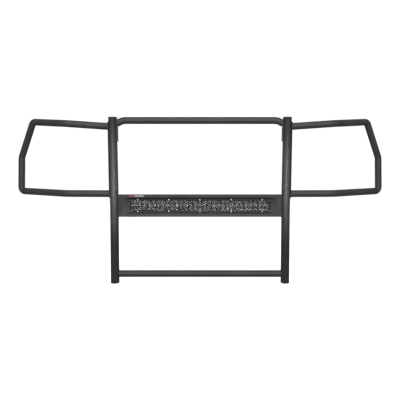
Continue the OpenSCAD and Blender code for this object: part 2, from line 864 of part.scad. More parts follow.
placed() upright(-1);  // left_upright
placed() upright(1);  // right_upright
placed() top_cap(-1);  // left_top_cap
placed() top_cap(1);  // right_top_cap
placed() foot_cap(-1);  // left_foot_cap
placed() foot_cap(1);  // right_foot_cap
placed() top_crossbar();
placed() crossbar_plate(-1);  // left_crossbar_plate
placed() crossbar_plate(1);  // right_crossbar_plate
placed() lower_crossbar();
placed() headlight_cage(-1);  // left_headlight_cage
placed() headlight_cage(1);  // right_headlight_cage
placed() cage_plate(-1);  // left_cage_plate
placed() cage_plate(1);  // right_cage_plate
placed() plate_screws();
placed() plate_weld_nuts();
placed() rear_tab(-1);  // left_rear_tab
placed() rear_tab(1);  // right_rear_tab
placed() frame_bracket(-1);  // left_frame_bracket
placed() frame_bracket(1);  // right_frame_bracket
placed() bracket_bolts();
placed() bracket_nuts();
placed() bracket_washers();
placed() cover_panel();
placed() panel_end_screws();
placed() mesh_insert();
placed() mesh_screws();
placed() mesh_nuts();
placed() badge();
placed() light_foot(-1);  // left_light_foot
placed() light_foot(1);  // right_light_foot
placed() foot_bolts();
placed() foot_nuts();
placed() tilt_pins();
placed() tilt_pin_nuts();
placed() light_housing();
placed() light_lug(-1);  // left_light_lug
placed() light_lug(1);  // right_light_lug
placed() light_cap(-1);  // left_light_cap
placed() light_cap(1);  // right_light_cap
placed() light_cap_screws();
placed() light_bezel();
placed() light_lens();
placed() lens_gasket();
placed() reflector_array();
placed() led_board();
placed() led_chips();
placed() driver_cover();
placed() driver_board();
placed() cable_gland();
placed() breather_plug();
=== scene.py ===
"""Front grille guard: the visible model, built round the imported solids.

Uprights, bars and cages are swept in mesh code. Expanded metal, weld beads and fasteners come
from Geometry Nodes. Plates, brackets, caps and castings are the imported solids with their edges
broken. Metres, +Z up, +Y towards the vehicle.
"""
import json
import math

import bmesh
import bpy
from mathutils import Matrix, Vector


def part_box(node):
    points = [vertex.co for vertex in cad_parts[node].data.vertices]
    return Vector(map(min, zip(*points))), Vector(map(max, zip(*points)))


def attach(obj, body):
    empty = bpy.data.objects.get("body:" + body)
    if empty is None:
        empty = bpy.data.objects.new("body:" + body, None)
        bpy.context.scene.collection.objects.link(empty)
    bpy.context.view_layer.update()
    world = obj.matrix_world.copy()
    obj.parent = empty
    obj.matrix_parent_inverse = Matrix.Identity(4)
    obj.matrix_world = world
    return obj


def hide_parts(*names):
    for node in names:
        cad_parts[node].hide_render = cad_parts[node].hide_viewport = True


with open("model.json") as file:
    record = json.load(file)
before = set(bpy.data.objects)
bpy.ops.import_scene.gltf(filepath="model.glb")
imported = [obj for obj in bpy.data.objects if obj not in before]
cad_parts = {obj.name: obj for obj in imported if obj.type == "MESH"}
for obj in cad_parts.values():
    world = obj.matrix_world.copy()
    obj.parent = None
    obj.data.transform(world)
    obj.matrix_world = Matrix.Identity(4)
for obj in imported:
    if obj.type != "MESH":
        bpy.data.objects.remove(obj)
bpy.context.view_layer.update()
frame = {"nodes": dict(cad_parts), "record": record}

MM = 0.001
GUARD = "guard"
SIDES = (("left", -1), ("right", 1))
SQUARE = ((-1, -1), (1, -1), (1, 1), (-1, 1))

# ---------- sizes of the guard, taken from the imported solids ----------

upright_low, upright_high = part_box("right_upright")
lower_low, lower_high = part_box("lower_crossbar")
mesh_low, mesh_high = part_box("mesh_insert")

UPRIGHT_Y = (upright_low.y + upright_high.y) / 2
TUBE_R = (lower_high.z - lower_low.z) / 2
LOW_BAR_Z = (lower_high.z + lower_low.z) / 2
FOOT_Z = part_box("right_foot_cap")[0].z
UPRIGHT_IN_X = lower_high.x
UPRIGHT_W = 45 * MM
UPRIGHT_D = 64 * MM
UPRIGHT_X = UPRIGHT_IN_X + UPRIGHT_W / 2
SPLAY = math.radians(0.6)
SPLAY_START = 466 * MM
FOLD_X = 730 * MM
SWEEP = math.tan(math.radians(34))
FOLD_BEND = 60 * MM
CORNER_BEND = 26 * MM
CAP_LAP = 18 * MM
CAGE_PLATE_T = 3 * MM
CAGE_END_GAP = 2 * MM
BAR_PLATE_T = 4 * MM
TOP_BAR_H = 890 * MM
TOP_BAR_BEND_X = 419 * MM
TOP_BAR_DROP = math.tan(math.radians(28))
TOP_BAR_END_GAP = 2.5 * MM


def at(x, y, h):
    """A point given from the uprights' centre plane and from the foot of the guard."""
    return Vector((x, UPRIGHT_Y + y, FOOT_Z + h))


def splay_shift(h):
    """How far the upper length of an upright has moved outwards at height h."""
    return max(0.0, h - SPLAY_START) * math.tan(SPLAY)


def top_bar_h(x):
    """Height of the top crossbar's axis on its bent-down end."""
    return TOP_BAR_H - (x - TOP_BAR_BEND_X) * TOP_BAR_DROP


# ---------- finishes ----------


class Finish:
    """A node material on Object coordinates: the shader plus the nodes that feed it."""

    def __init__(self, name, metallic=0.0, coat=0.0, specular=0.5, transmission=0.0, ior=1.5):
        self.material = bpy.data.materials.new(name)
        self.material.use_nodes = True
        self.tree = self.material.node_tree
        self.shader = self.tree.nodes["Principled BSDF"]
        self.shader.inputs["Metallic"].default_value = metallic
        self.shader.inputs["Coat Weight"].default_value = coat
        self.shader.inputs["Specular IOR Level"].default_value = specular
        self.shader.inputs["Transmission Weight"].default_value = transmission
        self.shader.inputs["IOR"].default_value = ior
        self.place = self.tree.nodes.new("ShaderNodeTexCoord").outputs["Object"]

    def node(self, kind, inputs=None, **fields):
        made = self.tree.nodes.new(kind)
        for field, value in fields.items():
            setattr(made, field, value)
        for socket, value in (inputs or {}).items():
            if isinstance(value, bpy.types.NodeSocket):
                self.tree.links.new(value, made.inputs[socket])
            else:
                made.inputs[socket].default_value = value
        return made

    def noise(self, scale, detail=3.0, rough=0.5, stretch=(1, 1, 1)):
        where = self.node("ShaderNodeMapping", {"Vector": self.place, "Scale": stretch})
        return self.node(
            "ShaderNodeTexNoise",
            {"Vector": where.outputs[0], "Scale": scale, "Detail": detail, "Roughness": rough},
        ).outputs["Fac"]

    def colour(self, pattern, low, high):
        ramp = self.node("ShaderNodeValToRGB", {"Fac": pattern})
        ramp.color_ramp.elements[0].position = 0.32
        ramp.color_ramp.elements[1].position = 0.68
        ramp.color_ramp.elements[0].color = (*low, 1)
        ramp.color_ramp.elements[1].color = (*high, 1)
        self.tree.links.new(ramp.outputs["Color"], self.shader.inputs["Base Color"])

    def roughness(self, pattern, low, high):
        spread = self.node("ShaderNodeMapRange", {"Value": pattern, "To Min": low, "To Max": high})
        self.tree.links.new(spread.outputs["Result"], self.shader.inputs["Roughness"])

    def bump(self, pattern, height, strength=0.5):
        bump = self.node(
            "ShaderNodeBump", {"Height": pattern, "Distance": height, "Strength": strength}
        )
        self.tree.links.new(bump.outputs["Normal"], self.shader.inputs["Normal"])


def powder_coat():
    """Black polyester powder: a fine orange-peel skin with slight clouding."""
    f = Finish("black_powder_coat", specular=0.5)
    f.colour(f.noise(9, 4), (0.027, 0.027, 0.028), (0.037, 0.037, 0.038))
    f.roughness(f.noise(38, 3), 0.50, 0.62)
    f.bump(f.noise(620, 2, 0.6), 0.00012, 0.55)
    return f.material


def moulded(name, low, high, rough):
    """Moulded plastic or rubber with a spark-eroded grain."""
    f = Finish(name, specular=0.45)
    f.colour(f.noise(30, 2), low, high)
    f.roughness(f.noise(70, 2), rough - 0.06, rough + 0.06)
    f.bump(f.noise(900, 2, 0.6), 0.0001, 0.4)
    return f.material


def steel(name, low, high, rough):
    """Bare or plated steel: turned lines or plating bloom."""
    f = Finish(name, metallic=1.0)
    f.colour(f.noise(120, 4), low, high)
    f.roughness(f.noise(420, 3, 0.6), rough - 0.08, rough + 0.10)
    f.bump(f.noise(1400, 2, 0.5), 0.00004, 0.4)
    return f.material


def anodised():
    """Black anodised extrusion with die lines along its length."""
    f = Finish("light_alloy_black", metallic=0.55, specular=0.5)
    f.colour(f.noise(14, 3), (0.022, 0.022, 0.024), (0.034, 0.034, 0.036))
    f.roughness(f.noise(260, 3, 0.5, (0.02, 1, 1)), 0.32, 0.48)
    f.bump(f.noise(900, 2, 0.5, (0.02, 1, 1)), 0.00005, 0.4)
    return f.material


def metallised():
    """Vacuum-metallised reflector."""
    f = Finish("reflector_chrome", metallic=1.0)
    f.colour(f.noise(60, 2), (0.50, 0.50, 0.51), (0.58, 0.58, 0.59))
    f.roughness(f.noise(200, 2), 0.05, 0.10)
    f.bump(f.noise(500, 1), 0.00002, 0.2)
    return f.material


def clear_lens():
    """Clear polycarbonate with the faint ripple of a moulding."""
    f = Finish("lens_clear", transmission=1.0, ior=1.1, coat=0.3)
    f.colour(f.noise(8, 2), (0.97, 0.98, 0.98), (1.0, 1.0, 1.0))
    f.roughness(f.noise(20, 2), 0.0, 0.02)
    f.bump(f.noise(60, 1), 0.00001, 0.1)
    return f.material


def circuit_board():
    """Green solder mask over a mesh of tracks."""
    f = Finish("circuit_board", specular=0.5, coat=0.2)
    tracks = f.node(
        "ShaderNodeTexVoronoi", {"Vector": f.place, "Scale": 260.0}, distance="MANHATTAN"
    )
    f.colour(tracks.outputs["Distance"], (0.005, 0.020, 0.012), (0.010, 0.034, 0.020))
    f.roughness(f.noise(150, 2), 0.28, 0.42)
    f.bump(tracks.outputs["Distance"], 0.00006, 0.4)
    return f.material


def badge_enamel(split_x):
    """Two plain fields of enamel, dark red and light grey, with no lettering."""
    blend = 0.3 * MM
    f = Finish("badge_enamel", specular=0.5, coat=0.5)
    x = f.node("ShaderNodeSeparateXYZ", {"Vector": f.place}).outputs["X"]
    edge = f.node(
        "ShaderNodeMapRange",
        {"Value": x, "From Min": split_x - blend, "From Max": split_x + blend},
    )
    f.colour(edge.outputs["Result"], (0.16, 0.045, 0.05), (0.30, 0.29, 0.29))
    f.roughness(f.noise(90, 2), 0.22, 0.34)
    f.bump(f.noise(500, 1), 0.00002, 0.3)
    return f.material


def phosphor():
    """Pale phosphor over an LED die."""
    f = Finish("led_phosphor", specular=0.5, coat=0.6)
    f.colour(f.noise(800, 2), (0.62, 0.57, 0.40), (0.74, 0.70, 0.54))
    f.roughness(f.noise(600, 2), 0.18, 0.3)
    f.bump(f.noise(1500, 1), 0.00003, 0.3)
    return f.material


badge_low, badge_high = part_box("badge")
BADGE_SPLIT_X = badge_low.x + 0.4 * (badge_high.x - badge_low.x)
FINISHES = {
    "black_powder_coat": powder_coat(),
    "black_plastic": moulded("black_plastic", (0.016, 0.016, 0.017), (0.024, 0.024, 0.025), 0.5),
    "gasket_rubber": moulded("gasket_rubber", (0.010, 0.010, 0.010), (0.018, 0.018, 0.018), 0.75),
    "black_fasteners": steel("black_fasteners", (0.045, 0.045, 0.047), (0.075, 0.075, 0.078), 0.42),
    "zinc_fasteners": steel("zinc_fasteners", (0.46, 0.46, 0.45), (0.62, 0.62, 0.60), 0.38),
    "stainless_screws": steel("stainless_screws", (0.62, 0.61, 0.60), (0.76, 0.75, 0.74), 0.26),
    "light_alloy_black": anodised(),
    "reflector_chrome": metallised(),
    "lens_clear": clear_lens(),
    "circuit_board": circuit_board(),
    "badge_enamel": badge_enamel(BADGE_SPLIT_X),
    "led_phosphor": phosphor(),
}
SLOT_OF = {s["node"]: s["material_slot"] for s in frame["record"]["subparts"]}
BODY_OF = {n: b for b, ns in frame["record"]["behaviour"]["bodies"].items() for n in ns}


# ---------- mesh helpers ----------


def smooth_by_angle(mesh, degrees=35):
    """Smooth shading that keeps every edge sharper than the angle."""
    mesh.set_sharp_from_angle(angle=math.radians(degrees))
    for polygon in mesh.polygons:
        polygon.use_smooth = True


def finish_piece(obj, nodes, smooth=True):
    """Gives a piece its finish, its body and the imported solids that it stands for."""
    slot = SLOT_OF[nodes[0]]
    obj.data.materials.clear()
    obj.data.materials.append(FINISHES[slot])
    if smooth:
        smooth_by_angle(obj.data)
    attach(obj, BODY_OF[nodes[0]])
    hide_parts(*nodes)
    return obj


def new_object(name, mesh):
    obj = bpy.data.objects.new(name, mesh)
    bpy.context.scene.collection.objects.link(obj)
    return obj


def mesh_of(name, verts, faces):
    """A mesh with its normals turned outwards."""
    mesh = bpy.data.meshes.new(name)
    mesh.from_pydata([tuple(v) for v in verts], [], faces)
    bm = bmesh.new()
    bm.from_mesh(mesh)
    bmesh.ops.recalc_face_normals(bm, faces=bm.faces)
    bm.to_mesh(mesh)
    bm.free()
    return mesh


SAME_POINT = 0.002 * MM
FLAT_ANGLE = math.radians(0.4)
EDGE_ANGLE = math.radians(50)


def merged_copy(node):
    """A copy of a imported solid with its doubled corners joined."""
    bm = bmesh.new()
    bm.from_mesh(frame["nodes"][node].data)
    bmesh.ops.remove_doubles(bm, verts=bm.verts, dist=SAME_POINT)
    return bm


def baked(obj):
    """Turns an object's modifiers into plain mesh."""
    graph = bpy.context.evaluated_depsgraph_get()
    mesh = bpy.data.meshes.new_from_object(obj.evaluated_get(graph))
    obj.modifiers.clear()
    obj.data = mesh
    return obj


# Pieces that keep the triangles around their openings, since one joined face could close them
PIERCED = {"cover_panel"}


def broken_edges(node, width):
    """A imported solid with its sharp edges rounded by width."""
    bm = merged_copy(node)
    if node not in PIERCED:
        bmesh.ops.dissolve_limit(
            bm, angle_limit=FLAT_ANGLE, verts=bm.verts, edges=bm.edges,
            delimit={"NORMAL"}, use_dissolve_boundaries=False,
        )
    mesh = bpy.data.meshes.new(node + "_piece")
    bm.to_mesh(mesh)
    bm.free()
    obj = new_object(node + "_piece", mesh)
    smooth_by_angle(mesh)
    if width:
        bevel = obj.modifiers.new("edge", "BEVEL")
        bevel.width = width
        bevel.segments = 2
        bevel.limit_method = "ANGLE"
        bevel.angle_limit = EDGE_ANGLE
        bevel.use_clamp_overlap = False
        bevel.harden_normals = True
        bpy.context.view_layer.update()
        baked(obj)
    return finish_piece(obj, [node], smooth=False)


def solids_of(node):
    """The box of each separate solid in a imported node."""
    bm = merged_copy(node)
    boxes, seen = [], set()
    for start in bm.verts:
        if start.index in seen:
            continue
        stack, group = [start], []
        seen.add(start.index)
        while stack:
            v = stack.pop()
            group.append(v.co.copy())
            for e in v.link_edges:
                other = e.other_vert(v)
                if other.index not in seen:
                    seen.add(other.index)
                    stack.append(other)
        low = Vector([min(p[i] for p in group) for i in range(3)])
        high = Vector([max(p[i] for p in group) for i in range(3)])
        boxes.append((low, high))
    bm.free()
    return boxes


def rings_mesh(name, rings, loop=False):
    """Skins a run of rings. A ring of one point closes an end; loop joins last to first."""
    verts, faces, starts = [], [], []
    for ring in rings:
        starts.append(len(verts))
        verts.extend(ring)
    pairs = list(zip(range(len(rings)), range(1, len(rings))))
    if loop:
        pairs.append((len(rings) - 1, 0))
    for a, b in pairs:
        na, nb = len(rings[a]), len(rings[b])
        n = max(na, nb)
        for k in range(n):
            j = (k + 1) % n
            if na == 1:
                faces.append((starts[a], starts[b] + k, starts[b] + j))
            elif nb == 1:
                faces.append((starts[a] + k, starts[b], starts[a] + j))
            else:
                faces.append((starts[a] + k, starts[a] + j, starts[b] + j, starts[b] + k))
    return mesh_of(name, verts, faces)


def turned(name, profile, sides=24, loop=False):
    """A turned part along +Z from (radius, z, shape) in millimetres; shape o round, x hexagon."""
    rings = []
    for r, z, shape in profile:
        if r == 0:
            rings.append([Vector((0, 0, z * MM))])
            continue
        ring = []
        for k in range(sides):
            a = 2 * math.pi * k / sides
            grow = 1 / math.cos((a % (math.pi / 3)) - math.pi / 6) if shape == "x" else 1
            ring.append(Vector((r * grow * math.cos(a), r * grow * math.sin(a), z)) * MM)
        rings.append(ring)
    return rings_mesh(name, rings, loop)


def thread(r, z0, z1, pitch):
    """Profile points of a thread between two heights."""
    depth = 0.06 * 2 * r
    turns = max(1, int(abs(z1 - z0) / pitch))
    step = (z1 - z0) / turns
    points = []
    for k in range(turns):
        points += [(r - depth, z0 + k * step, "o"), (r, z0 + (k + 0.5) * step, "o")]
    return points + [(r - depth, z1, "o")]


# ---------- tubes ----------


def rounded_path(points, bends, steps=14):
    """Points along straight runs joined by circular bends."""
    path = [points[0]]
    for i, radius in enumerate(bends, start=1):
        a, p, b = points[i - 1], points[i], points[i + 1]
        u, v = (p - a).normalized(), (b - p).normalized()
        angle = u.angle(v)
        cut = radius * math.tan(angle / 2)
        across = (v - u * u.dot(v)).normalized()
        centre = p - u * cut + across * radius
        for k in range(steps + 1):
            t = angle * k / steps
            path.append(centre - across * radius * math.cos(t) + u * radius * math.sin(t))
    path.append(points[-1])
    return path


def swept_tube(name, path, radius, sides=48):
    """A round tube along a path, closed at both ends."""
    tangents = []
    for i in range(len(path)):
        a, b = path[max(0, i - 1)], path[min(len(path) - 1, i + 1)]
        tangents.append((b - a).normalized())
    side = tangents[0].cross(Vector((0, 0, 1)))
    if side.length < 0.1:
        side = tangents[0].cross(Vector((0, 1, 0)))
    side.normalize()
    angles = [2 * math.pi * k / sides for k in range(sides)]
    rings = [[path[0]]]
    for p, t in zip(path, tangents):
        side = (side - t * side.dot(t)).normalized()
        other = t.cross(side)
        rings.append([p + (side * math.cos(a) + other * math.sin(a)) * radius for a in angles])
    rings.append([path[-1]])
    return new_object(name, rings_mesh(name, rings))


def folded(side, x, h):
    """A point on a cage: flat beside the upright, swept back past the fold."""
    return at(side * x, max(0.0, x - FOLD_X) * SWEEP, h)


CAGE_START = UPRIGHT_X + UPRIGHT_W / 2 + CAGE_END_GAP
CAGE_TOP_H = 858 * MM
CAGE_LOW_H = 493 * MM
CAGE_OUTER = (
    (FOLD_X, CAGE_TOP_H + 16 * MM, FOLD_BEND),
    (943 * MM, CAGE_TOP_H + 31 * MM, CORNER_BEND),
    (1028 * MM, 689 * MM, FOLD_BEND),
    (1035 * MM, CAGE_LOW_H + 3 * MM, CORNER_BEND),
    (FOLD_X, CAGE_LOW_H + 1 * MM, FOLD_BEND),
)


def headlight_cage(name, side):
    """One bent tube from the upright, round the lamp and back."""
    top_x = CAGE_START + splay_shift(CAGE_TOP_H)
    low_x = CAGE_START + splay_shift(CAGE_LOW_H)
    points = [folded(side, top_x, CAGE_TOP_H)]
    points += [folded(side, x, h) for x, h, _ in CAGE_OUTER]
    points.append(folded(side, low_x, CAGE_LOW_H))
    bends = [bend for _, _, bend in CAGE_OUTER]
    tube = swept_tube(name + "_cage_tube", rounded_path(points, bends), TUBE_R)
    return finish_piece(tube, [name + "_headlight_cage"])


def crossbars():
    """The top bar with its bent-down ends, and the straight lower bar."""
    end_x = UPRIGHT_IN_X + splay_shift(TOP_BAR_H) - TOP_BAR_END_GAP
    points = [
        at(-end_x, 0, top_bar_h(end_x)), at(-TOP_BAR_BEND_X, 0, TOP_BAR_H),
        at(TOP_BAR_BEND_X, 0, TOP_BAR_H), at(end_x, 0, top_bar_h(end_x)),
    ]
    top = swept_tube("top_crossbar_tube", rounded_path(points, [FOLD_BEND, FOLD_BEND]), TUBE_R)
    finish_piece(top, ["top_crossbar"])
    ends = [Vector((s * UPRIGHT_IN_X, UPRIGHT_Y, LOW_BAR_Z)) for s in (-1, 1)]
    low = swept_tube("lower_crossbar_tube", ends, TUBE_R)
    finish_piece(low, ["lower_crossbar"])


def obround_ring(x, h, sides=24):
    """The outline of an upright at height h."""
    ring = []
    for end in (1, -1):
        for k in range(sides + 1):
            a = math.pi * k / sides + (0 if end > 0 else math.pi)
            ring.append(at(
                x + UPRIGHT_W / 2 * math.cos(a),
                end * (UPRIGHT_D - UPRIGHT_W) / 2 + UPRIGHT_W / 2 * math.sin(a), h,
            ))
    return ring


def upright(name, side):
    """A flat-sided tube, straight at the bottom and splayed above the lower cage rail."""
    low_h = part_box(name + "_foot_cap")[1].z - FOOT_Z - CAP_LAP
    top_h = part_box(name + "_top_cap")[0].z - FOOT_Z + CAP_LAP
    heights = [low_h, SPLAY_START, top_h]
    rings = [obround_ring(side * (UPRIGHT_X + splay_shift(h)), h) for h in heights]
    rings = [[at(side * UPRIGHT_X, 0, low_h)], *rings]
    rings.append([at(side * (UPRIGHT_X + splay_shift(top_h)), 0, top_h)])
    tube = new_object(name + "_upright_tube", rings_mesh(name, rings))
    return finish_piece(tube, [name + "_upright"])


# ---------- geometry-node trees ----------


def new_tree(name, inputs):
    """A geometry tree with a named input for each (name, socket type, default)."""
    tree = bpy.data.node_groups.new(name, "GeometryNodeTree")
    tree.interface.new_socket("Geometry", in_out="INPUT", socket_type="NodeSocketGeometry")
    for label, kind, default in inputs:
        socket = tree.interface.new_socket(label, in_out="INPUT", socket_type=kind)
        if default is not None:
            socket.default_value = default
    tree.interface.new_socket("Geometry", in_out="OUTPUT", socket_type="NodeSocketGeometry")
    return tree, tree.nodes.new("NodeGroupInput"), tree.nodes.new("NodeGroupOutput")


def run_tree(obj, tree, values):
    """Runs a tree on an object with its inputs set by identifier, and keeps the plain mesh."""
    modifier = obj.modifiers.new(tree.name, "NODES")
    modifier.node_group = tree
    for item in tree.interface.items_tree:
        if item.in_out == "INPUT" and item.name in values:
            modifier[item.identifier] = values[item.name]
    bpy.context.view_layer.update()
    return baked(obj)


def painted(tree, start, place, end):
    """Ends a tree: its instances become real mesh and take the tree's finish."""
    real = tree.nodes.new("GeometryNodeRealizeInstances")
    paint = tree.nodes.new("GeometryNodeSetMaterial")
    tree.links.new(place.outputs["Instances"], real.inputs["Geometry"])
    tree.links.new(real.outputs["Geometry"], paint.inputs["Geometry"])
    tree.links.new(start.outputs["Finish"], paint.inputs["Material"])
    tree.links.new(paint.outputs["Geometry"], end.inputs["Geometry"])
    return tree


def parts_tree():
    """Sets a part on every point, its own +Z along the point's axis attribute."""
    tree, start, end = new_tree(
        "place_parts",
        [("Part", "NodeSocketObject", None), ("Finish", "NodeSocketMaterial", None)],
    )
    part = tree.nodes.new("GeometryNodeObjectInfo")
    axis = tree.nodes.new("GeometryNodeInputNamedAttribute")
    axis.data_type = "FLOAT_VECTOR"
    axis.inputs["Name"].default_value = "axis"
    aim = tree.nodes.new("FunctionNodeAlignRotationToVector")
    aim.axis = "Z"
    place = tree.nodes.new("GeometryNodeInstanceOnPoints")
    link = tree.links.new
    link(start.outputs["Part"], part.inputs["Object"])
    link(axis.outputs["Attribute"], aim.inputs["Vector"])
    link(start.outputs["Geometry"], place.inputs["Points"])
    link(part.outputs["Geometry"], place.inputs["Instance"])
    link(aim.outputs["Rotation"], place.inputs["Rotation"])
    return painted(tree, start, place, end)


RIPPLE_L = 2.2 * MM
BEAD_R = 2.6 * MM


def bead_tree():
    """Overlapping ripples of weld along a closed seam."""
    tree, start, end = new_tree("weld_bead", [
        ("Ripple length", "NodeSocketFloat", RIPPLE_L),
        ("Bead radius", "NodeSocketFloat", BEAD_R),
        ("Finish", "NodeSocketMaterial", None),
    ])
    seam = tree.nodes.new("GeometryNodeMeshToCurve")
    steps = tree.nodes.new("GeometryNodeCurveToPoints")
    steps.mode = "LENGTH"
    ripple = tree.nodes.new("GeometryNodeMeshUVSphere")
    ripple.inputs["Segments"].default_value = 8
    ripple.inputs["Rings"].default_value = 5
    place = tree.nodes.new("GeometryNodeInstanceOnPoints")
    link = tree.links.new
    link(start.outputs["Geometry"], seam.inputs["Mesh"])
    link(seam.outputs["Curve"], steps.inputs["Curve"])
    link(start.outputs["Ripple length"], steps.inputs["Length"])
    link(start.outputs["Bead radius"], ripple.inputs["Radius"])
    link(steps.outputs["Points"], place.inputs["Points"])
    link(ripple.outputs["Mesh"], place.inputs["Instance"])
    return painted(tree, start, place, end)


PARTS_TREE = parts_tree()
BEAD_TREE = bead_tree()


def tagged_points(name, points, label, vectors):
    """An object of loose points, each with a vector under the label."""
    mesh = bpy.data.meshes.new(name)
    mesh.from_pydata([tuple(p) for p in points], [], [])
    attribute = mesh.attributes.new(label, "FLOAT_VECTOR", "POINT")
    attribute.data.foreach_set("vector", [c for vector in vectors for c in vector])
    return new_object(name, mesh)


def scatter(name, part_mesh, places, nodes):
    """One piece made of a part repeated at (point, axis) places."""
    obj = tagged_points(name, [p for p, _ in places], "axis", [axis for _, axis in places])
    part = new_object(name + "_part", part_mesh)
    run_tree(obj, PARTS_TREE, {"Part": part, "Finish": FINISHES[SLOT_OF[nodes[0]]]})
    bpy.data.objects.remove(part)
    return finish_piece(obj, nodes)


def end_places(node, direction):
    """For each solid of a node: the middle of its end in a direction, and that direction."""
    places = []
    for low, high in solids_of(node):
        middle = (low + high) / 2
        axis = Vector(direction(middle))
        reach = max(abs(axis.dot(high - middle)), abs(axis.dot(low - middle)))
        places.append((middle + axis * reach, axis))
    return places


# ---------- fasteners ----------


def outward(middle):
    return (math.copysign(1, middle.x), 0, 0)


def inward(middle):
    return (-math.copysign(1, middle.x), 0, 0)


def plate_screw_axis(middle):
    """Cage screws face away from the centre, crossbar-plate screws face it."""
    side = math.copysign(1, middle.x)
    return (side if abs(middle.x) > UPRIGHT_X + splay_shift(middle.z - FOOT_Z) else -side, 0, 0)


def upward(middle):
    return (0, 0, 1)


def downward(middle):
    return (0, 0, -1)


def forward(middle):
    return (0, -1, 0)


def rearward(middle):
    return (0, 1, 0)


def socket(r, depth):
    """The hexagon socket at the top of a screw, closing at its floor."""
    return [(r, 0, "x"), (r, -depth, "x"), (0, -depth - 0.4, "o")]


def screw_below(r, top, bottom, pitch):
    """A threaded shank, from its point upwards to the head."""
    return [(0, bottom, "o"), (r * 0.75, bottom, "o"), *thread(r, bottom + 0.6, top, pitch)]


def fasteners():
    """Every screw, bolt, nut and LED. Their outlines are in millimetres from the head's top."""
    countersunk = screw_below(3.85, -3.7, -17, 1.25)
    countersunk += [(4.0, -3.6, "o"), (7.3, -0.3, "o"), (7.3, -0.02, "o"), (7.0, 0, "o")]
    scatter("plate_screw_set", turned("m8", countersunk + socket(2.5, 2.6), 36),
            end_places("plate_screws", plate_screw_axis), ["plate_screws"])
    hex_bolt = screw_below(5.95, -8.2, -38.5, 1.75)
    hex_bolt += [(5.95, -7.5, "o"), (8.2, -7.5, "o"), (9, -7.2, "x"), (9, -1.1, "x"), (8.2, 0, "o"),
                 (6.4, 0, "o"), (6.0, -0.3, "o"), (0, -0.3, "o")]
    scatter("bracket_bolt_set", turned("m12", hex_bolt, 36),
            end_places("bracket_bolts", inward), ["bracket_bolts"])
    scatter("bracket_nut_set", nut(18, 6.0, 10),
            end_places("bracket_nuts", outward), ["bracket_nuts"])
    button = screw_below(2.45, -2.7, -11.2, 0.8)
    button += [(2.5, -2.6, "o"), (4.3, -2.6, "o"), (4.4, -2.2, "o"), (4.1, -1.2, "o"),
               (3.2, -0.35, "o"), (2.0, 0, "o")]
    scatter("mesh_screw_set", turned("m5", button + socket(1.5, 1.5)),
            end_places("mesh_screws", forward), ["mesh_screws"])
    scatter("mesh_nut_set", nut(8, 2.5, 4), end_places("mesh_nuts", rearward), ["mesh_nuts"])
    pan = screw_below(2.95, -3.6, -16.8, 1.0)
    pan += [(3.0, -3.5, "o"), (5.4, -3.5, "o"), (5.5, -3.0, "o"), (5.1, -1.2, "o"),
            (4.0, -0.3, "o"), (2.6, 0, "o")]
    scatter("panel_end_screw_set", turned("m6", pan + socket(2.0, 2.0)),
            end_places("panel_end_screws", inward), ["panel_end_screws"])
    foot = screw_below(2.95, -4.2, -16.4, 1.0)
    foot += [(2.95, -4, "o"), (4.6, -4, "o"), (5, -3.8, "x"), (5, -0.6, "x"), (4.5, 0, "o"),
             (0, 0, "o")]
    scatter("foot_bolt_set", turned("m6_hex", foot, 36),
            end_places("foot_bolts", downward), ["foot_bolts"])
    scatter("foot_nut_set", nut(10, 3, 5), end_places("foot_nuts", upward), ["foot_nuts"])
    scatter("tilt_nut_set", nut(10, 3, 5), end_places("tilt_pin_nuts", outward), ["tilt_pin_nuts"])
    cap = [(0, -10.3, "o"), (1.95, -10.3, "o"), (1.95, -2.4, "o"), (3.5, -2.4, "o"), (3.6, -2.1, "o"),
           (3.4, -0.7, "o"), (2.6, -0.1, "o"), (1.8, 0, "o")]
    scatter("light_cap_screw_set", turned("m4", cap + socket(1.25, 1.3)),
            end_places("light_cap_screws", outward), ["light_cap_screws"])
    die = [(0, -1.0, "o"), (1.7, -1.0, "o"), (1.7, -0.62, "o"), (1.45, -0.3, "o"),
           (0.9, -0.08, "o"), (0, 0, "o")]
    scatter("led_dome_set", turned("led", die, 12), end_places("led_chips", forward), ["led_chips"])


def nut(across_flats, bore, height):
    """A chamfered hexagon nut with its top at Z = 0."""
    flat = across_flats / 2
    profile = [(bore, -height, "o"), (bore + 0.5, -height, "o"), (flat * 0.93, -height, "o"),
               (flat, -height + 0.07 * flat, "x"), (flat, -0.07 * flat, "x"), (flat * 0.93, 0, "o"),
               (bore + 0.5, 0, "o"), (bore, -0.4, "o")]
    return turned("nut", profile, 24, loop=True)


# ---------- weld beads ----------


